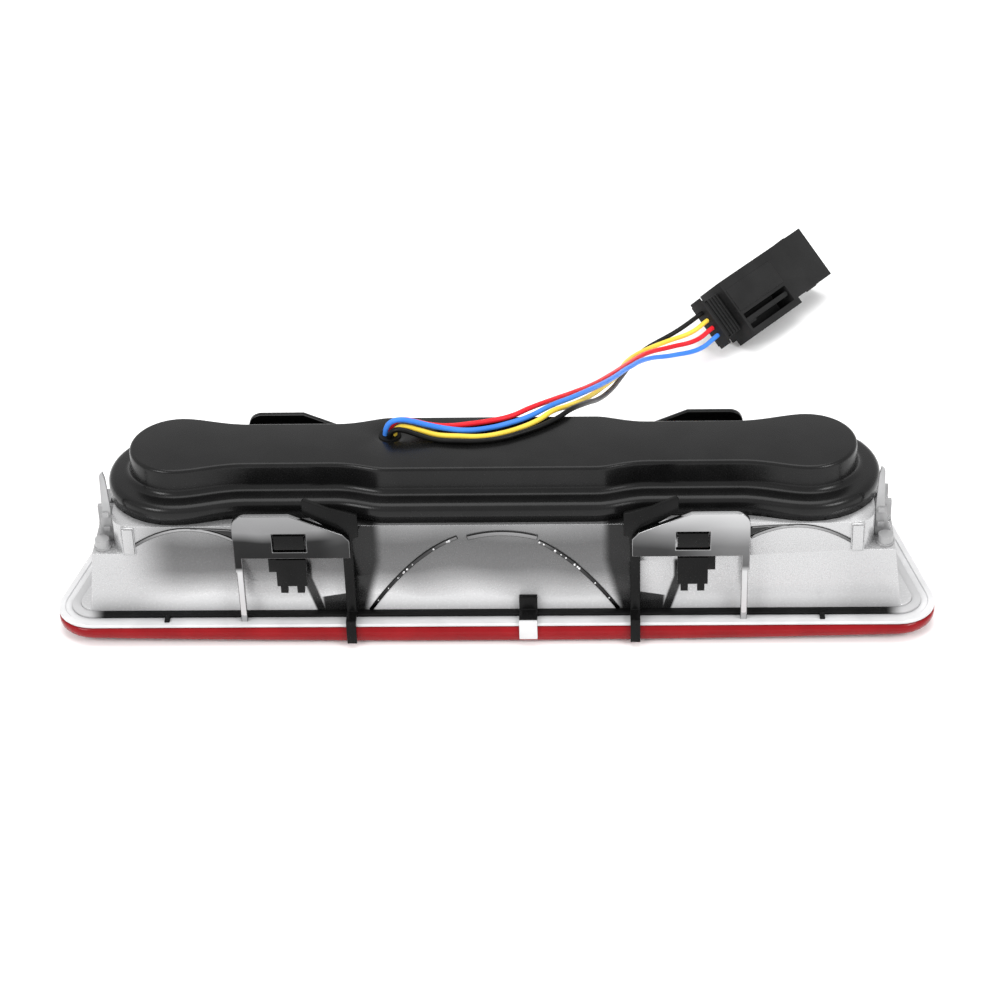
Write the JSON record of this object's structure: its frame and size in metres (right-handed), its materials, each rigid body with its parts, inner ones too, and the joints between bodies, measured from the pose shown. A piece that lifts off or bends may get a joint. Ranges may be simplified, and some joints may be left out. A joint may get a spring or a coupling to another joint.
{
  "type": "third brake light",
  "caption": "High-mounted vehicle stop lamp: red lens, bright reflector housing, black back cover, sprung clips, wires and plug.",
  "frame": {"origin": "on the resting surface under the middle of the lamp, which lies on its lens", "axes": "+X along the lamp, +Y to the shorter long side, where the wires leave, +Z from the lens to the back cover"},
  "size_m": [0.3412, 0.2772, 0.0769],
  "materials": {
    "red_lens": "deep red see-through moulding, polished",
    "clear_plastic": "clear moulding over a bright backing, polished",
    "metallised": "clear moulding with a bright vacuum-metallised coat, mirror smooth",
    "seal_black": "soft matt bead",
    "cover_black": "satin moulded, fine grain",
    "clip_black": "satin moulded",
    "board_green": "solder-masked board",
    "led_white": "moulded with a clear dome",
    "part_black": "moulded",
    "screw_steel": "zinc plated",
    "header_ivory": "moulded",
    "lead_grey": "insulated wire, smooth",
    "wire_red": "insulated wire, smooth satin",
    "wire_blue": "insulated wire, smooth satin",
    "wire_yellow": "insulated wire, smooth satin",
    "wire_black": "insulated wire, smooth satin",
    "plug_black": "satin moulded",
    "terminal_tin": "plated blades"
  },
  "bodies": {
    "lamp": {"lens": "red_lens", "lens_rim": "clear_plastic", "rim_seal": "seal_black", "housing": "metallised", "reflector_middle": "metallised", "reflector_left": "metallised", "reflector_right": "metallised", "fin_left": "clear_plastic", "fin_right": "clear_plastic", "cover": "cover_black", "cover_gasket": "seal_black", "circuit_board": "board_green", "leds": "led_white", "board_parts": "part_black", "board_screws": "screw_steel", "wire_header": "header_ivory", "inner_leads": "lead_grey", "outlet_seal": "seal_black", "bracket_near_left": "metallised", "strap_near_left": "clip_black", "bracket_near_right": "metallised", "strap_near_right": "clip_black", "bracket_far_left": "metallised", "strap_far_left": "clip_black", "bracket_far_right": "metallised", "strap_far_right": "clip_black", "snap_near": "clip_black", "snap_far": "clip_black", "snap_lugs": "clear_plastic", "wire_red": "wire_red", "wire_blue": "wire_blue", "wire_yellow": "wire_yellow", "wire_black": "wire_black", "plug_body": "plug_black", "plug_collar": "plug_black", "plug_terminals": "terminal_tin"},
    "clip_near_left": {"clip_near_left": "clip_black"},
    "clip_near_right": {"clip_near_right": "clip_black"},
    "clip_far_left": {"clip_far_left": "clip_black"},
    "clip_far_right": {"clip_far_right": "clip_black"},
    "plug_latch": {"plug_latch": "plug_black"}
  },
  "joints": [
    {"name": "clip_near_left_flex", "type": "hinge", "parent": "lamp", "child": "clip_near_left", "pos_m": [-0.0765, -0.03225, 0.05], "axis": [1, 0, 0], "range_deg": [0, 6], "stiffness_Nm_per_rad": 0.2},
    {"name": "clip_near_right_flex", "type": "hinge", "parent": "lamp", "child": "clip_near_right", "pos_m": [0.0765, -0.03225, 0.05], "axis": [1, 0, 0], "range_deg": [0, 6], "stiffness_Nm_per_rad": 0.2},
    {"name": "clip_far_left_flex", "type": "hinge", "parent": "lamp", "child": "clip_far_left", "pos_m": [-0.0765, 0.03225, 0.05], "axis": [-1, 0, 0], "range_deg": [0, 6], "stiffness_Nm_per_rad": 0.2},
    {"name": "clip_far_right_flex", "type": "hinge", "parent": "lamp", "child": "clip_far_right", "pos_m": [0.0765, 0.03225, 0.05], "axis": [-1, 0, 0], "range_deg": [0, 6], "stiffness_Nm_per_rad": 0.2},
    {"name": "plug_latch_flex", "type": "hinge", "parent": "lamp", "child": "plug_latch", "pos_m": [0.12305, 0.19985, 0.0113], "axis": [-0.5293, 0.424, -0.7349], "range_deg": [0, 3.5], "stiffness_Nm_per_rad": 0.2}
  ]
}
